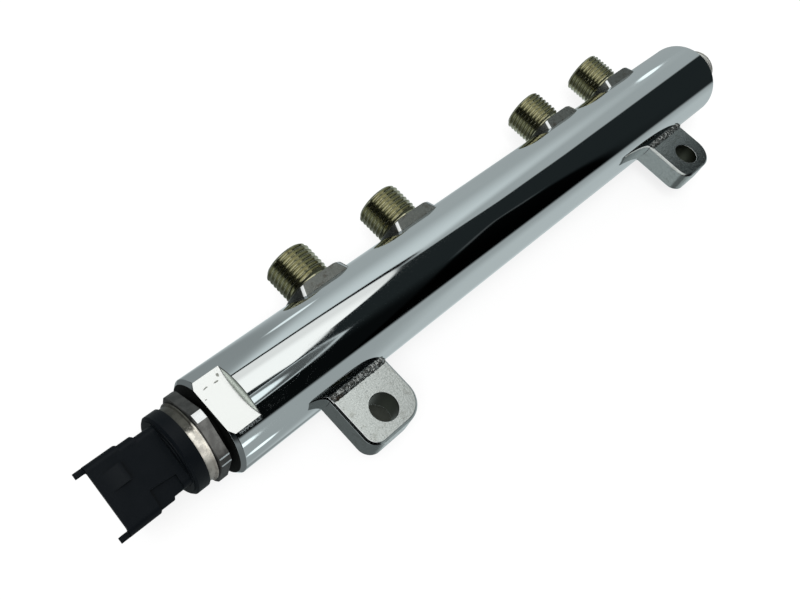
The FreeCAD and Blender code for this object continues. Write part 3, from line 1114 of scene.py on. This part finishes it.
def collar_ring(skin, axis, level):
    points = []
    for j in range(segments):
        quarter, k = divmod(j, segments // 4)
        k = k if quarter in (0, 2) else segments // 4 - k
        sign_across, sign_up = ((1, 1), (-1, 1), (-1, -1), (1, -1))[quarter]
        height = level
        flat = collar_flat - max(0.0, 0.12 - (collar_top - level))
        across, up = collar_point(collar_half_width(height), flat, k)
        foot_radius = tube_radius + 0.03
        for _ in range(6):
            foot = math.sqrt(foot_radius ** 2 - up ** 2)
            height = max(level, foot)
            across, up = collar_point(collar_half_width(height), flat, k)
        points.append(axis.place(height, sign_across * across, sign_up * up))
    return skin.ring(points)


def make_outlet(number, thread):
    low, high = solid("outlet_fitting_%d" % number)
    axis = Axis(((low.x + high.x) / 2, rail_y, rail_z), (0, 1, 0), (1, 0, 0))
    tip = collar_top + stub_length
    skin = Skin()
    rings = round_rings(
        skin, axis, (collar_top + relief_length, relief_radius), (collar_top + 0.15, relief_radius),
        (collar_top, relief_radius + 0.15),
    )
    levels = (collar_top, collar_top - 0.12, collar_top - 0.5, 14.2, 13.4, 12.6, 11.9, 11.2, 10.4)
    rings += [collar_ring(skin, axis, level) for level in levels]
    saddle = []
    for k in range(segments):
        angle = 2 * math.pi * k / segments
        across, up = spigot_radius * math.cos(angle), spigot_radius * math.sin(angle)
        saddle.append(axis.place(math.sqrt(tube_radius ** 2 - up ** 2), across, up))
    rings.append(skin.ring(saddle))
    rings += round_rings(
        skin, axis, (spigot_end, spigot_radius), (spigot_end, orifice_radius),
        (bore_floor, orifice_radius),
    )
    rings += seat_rings(skin, axis, tip, bore_floor)
    join_rings(skin, rings)
    start = axis.start + axis.along * (collar_top + relief_length)
    skin.add(thread, Axis(start, axis.along, axis.across))
    fitting = skin.piece("threaded_outlet_%d" % number, thread_zinc, sharp_angle=28)
    coat(fitting, collar_zinc, bright_corner)
    edge = (rail_y + collar_top + 0.02) * MM
    for polygon in fitting.data.polygons:
        facing = math.degrees(math.atan2(abs(polygon.normal.z), abs(polygon.normal.x)))
        if polygon.center.y < edge:
            worn = 60 < facing < 84 and abs(polygon.normal.y) < 0.6
            polygon.material_index = 2 if worn else 1
    dressed(weigh_normals(fitting), "plated_fitting", "outlet_fitting_%d" % number)


# Inlet fitting at the rail's far end
def make_inlet():
    tip = solid("inlet_fitting")[1].x - tube_low.x
    skin = Skin()
    face, shank, shank_radius = tube_length, tube_length - shank_hole_depth, 9.0
    rings = round_rings(
        skin, rail, (face + relief_length, relief_radius), (face + 0.1, relief_radius),
        (face, relief_radius + 0.1), (face, shank_radius - 0.1), (face - 0.1, shank_radius),
        (shank, shank_radius),
    )
    rings += seat_rings(skin, rail, tip, shank)
    join_rings(skin, rings)
    thread = make_thread(tip - tube_length - relief_length)
    start = rail.start + rail.along * (tube_length + relief_length)
    skin.add(thread, Axis(start, rail.along, rail.across))
    inlet = skin.piece("threaded_inlet", stub_zinc, sharp_angle=28)
    dressed(weigh_normals(inlet), "plated_fitting", "inlet_fitting")


# Brackets: the solids stay, with their edges softened
def soften_solid(name, width, *finishes):
    """Breaks the edges of a solid; a second finish is for the broken edges."""
    node = repainted(name, *finishes)
    weld = node.modifiers.new("Weld", "WELD")
    weld.merge_threshold = 0.002 * MM
    flatten = node.modifiers.new("Flatten", "DECIMATE")
    flatten.decimate_type = "DISSOLVE"
    flatten.angle_limit = math.radians(0.6)
    bevel = node.modifiers.new("Bevel", "BEVEL")
    bevel.width = width * MM
    bevel.segments = 3
    bevel.material = 1 if len(finishes) > 1 else -1
    bevel.limit_method = "ANGLE"
    bevel.angle_limit = math.radians(28)
    node.data.shade_smooth()
    weigh_normals(node)


# Welds: lumpy fillets above and below each plate, in the seats milled for them
weld_seat_depth = 0.2
weld_plate_leg = 1.25
weld_tube_leg = 1.5


def make_weld(node, bracket):
    low, high = solid(bracket)
    middle = (low.x + high.x) / 2
    skin = Skin()
    for side, face in ((1, high.z), (-1, low.z)):
        level = face - rail_z - side * weld_seat_depth
        root_angle = math.asin(level / tube_radius)
        toe_angle = root_angle + side * weld_tube_leg / tube_radius
        root = Vector((-math.cos(root_angle), math.sin(root_angle))) * tube_radius
        toe = Vector((-math.cos(toe_angle), math.sin(toe_angle))) * tube_radius
        plate = root - Vector((weld_plate_leg, 0))
        centre, chord = (toe + plate) / 2, (toe - plate) / 2
        outward = Vector((-side * chord.y, side * chord.x)).normalized()
        bead = grown(bead_tree, {
            "Length": high.x - low.x - 1.0,
            "Middle Y": rail_y + centre.x,
            "Middle Z": rail_z + centre.y,
            "Chord Y": chord.x,
            "Chord Z": chord.y,
            "Out Y": outward.x,
            "Out Z": outward.y,
            "Root depth": (centre - root).length + 0.1,
            "Pitch": 2.1,
            "Ripple": 0.34,
            "Lump": 0.7,
            "Seed": middle + side,
            "Rows": 260,
            "Columns": 28,
            "Finish": weld_metal.material,
        })
        skin.add(bead, Axis((middle, 0, 0), (1, 0, 0), (0, 1, 0)))
    bead = skin.piece(node.replace("bracket_weld", "weld_beads"), weld_metal, sharp_angle=75)
    dressed(bead, "weld_metal", node)


# Sensor: hexagon with turned corners, groove, boss and stem
def make_sensor_body():
    skin = Skin()
    hex_face, hex_back = -1.95, -5.1
    apothem, corner_radius, clocking = 12.1, 13.24, 28.5
    flat_steps, corner_steps = 14, 6

    def hex_ring(x, inset):
        reach = apothem - inset
        spread = math.acos(apothem / corner_radius)
        points = []
        for side in range(6):
            middle = math.radians(clocking + 30 + 60 * side)
            outward, across = rail.outward(middle), rail.outward(middle + math.pi / 2)
            for k in range(flat_steps + 1):
                share = 2 * k / flat_steps - 1
                points.append(rail.start + rail.along * x + outward * reach + across * (
                    reach * math.tan(spread) * share
                ))
            for k in range(1, corner_steps):
                angle = middle + spread + (math.pi / 3 - 2 * spread) * k / corner_steps
                points.append(
                    rail.start + rail.along * x + rail.outward(angle) * (corner_radius - inset)
                )
        return skin.ring(points)

    size = 6 * (flat_steps + corner_steps)

    def plain_ring(x, radius):
        start = math.radians(clocking + 30 - 25)
        return skin.ring([
            rail.start + rail.along * x + rail.outward(start + 2 * math.pi * k / size) * radius
            for k in range(size)
        ])

    boss_end, boss_radius, channel_radius = solid("sensor_body")[0].x - tube_low.x, 9.5, 2.0
    groove_end, groove_radius = hex_back - 0.4, 11.0
    neck_radius, stem_start, stem_radius = 8.2, 0.05, 9.0
    nose_start, nose_radius = 12.5, 6.4
    rings = [plain_ring(x, radius) for x, radius in (
        (boss_end, channel_radius), (boss_end, boss_radius), (groove_end, boss_radius),
        (groove_end, groove_radius - 0.15), (groove_end + 0.15, groove_radius),
        (hex_back, groove_radius),
    )]
    rings += [hex_ring(x, inset) for x, inset in (
        (hex_back, 0.15), (hex_back + 0.15, 0.0), (hex_face - 0.08, 0.0), (hex_face, 0.08)
    )]
    rings += [plain_ring(x, radius) for x, radius in (
        (hex_face, neck_radius), (stem_start, neck_radius), (stem_start, stem_radius),
        (nose_start, stem_radius), (port_depth, nose_radius), (port_depth, channel_radius),
    )]
    rings.append(rings[0])
    join_rings(skin, rings)
    body = skin.piece("sensor_hexagon", hex_steel, sharp_angle=14)
    coat(body, bright_corner, dark_steel)
    for polygon in body.data.polygons:
        x = polygon.center.x / MM - tube_low.x
        angle = math.degrees(math.atan2(
            polygon.center.z / MM - rail_z, polygon.center.y / MM - rail_y
        ))
        # Painted highlights: the whole corner strip on top, and thin glints at the edges of the
        # next corner strip.
        top = abs(angle - clocking - 60) < 6.0
        edge_glints = 4.0 < abs(angle - clocking - 120) < 6.1
        # The neck and stem, in the gap behind the hexagon, are painted near black as shade.
        if x > hex_face + 0.02:
            polygon.material_index = 2
        elif x > hex_back + 0.05 and (top or edge_glints) and abs(polygon.normal.x) < 0.9:
            polygon.material_index = 1
    dressed(body, "sensor_steel", "sensor_body")


def make_sleeve():
    low, high = solid("sensor_crimp_sleeve")
    start, end = low.x - tube_low.x, high.x - tube_low.x
    inner_radius, sleeve_radius, lip_radius = 9.6, 11.4, 12.0
    profile = softened([
        (start, inner_radius, 0.0),
        (start, sleeve_radius, 0.25),
        (end - 0.6, sleeve_radius, 0.1),
        (end - 0.35, lip_radius, 0.08),
        (end, lip_radius, 0.1),
        (end, inner_radius, 0.0),
    ])
    sleeve = Skin().turn(profile, rail, 192).piece("sensor_crimp_ring", sleeve_steel)
    dressed(sleeve, "polished_steel", "sensor_crimp_sleeve")


make_camera()
make_floor()
make_world()
make_shell()
make_lamp("key_light", (-900, -200, 1400), 1.2, 22.0)
make_lamp("fill_light", (1100, 1500, 1200), 1.6, 16.0)

make_tube()
outlet_thread = make_thread(stub_length - relief_length)
for number in (1, 2, 3, 4):
    make_outlet(number, outlet_thread)
make_inlet()
make_weld("bracket_weld_near", "bracket_near")
make_weld("bracket_weld_far", "bracket_far")
make_sensor_body()
make_sleeve()
soften_solid("bracket_near", 0.3, plate_zinc, bright_corner)
soften_solid("bracket_far", 0.3, plate_zinc, bright_corner)
# The housing's broken edges take the painted edge highlight.
soften_solid("sensor_connector_housing", 0.2, black, black_edge_highlight)
for number in (1, 2, 3):
    soften_solid("sensor_pin_%d" % number, 0.05, tin)
repainted("sensor_circuit_board", board_green)
repainted("sensor_measuring_cell", bright_corner)
for number in (1, 2, 3, 4):
    repainted("outlet_restrictor_%d" % number, hex_steel)

bpy.context.scene.view_settings.view_transform = "Standard"
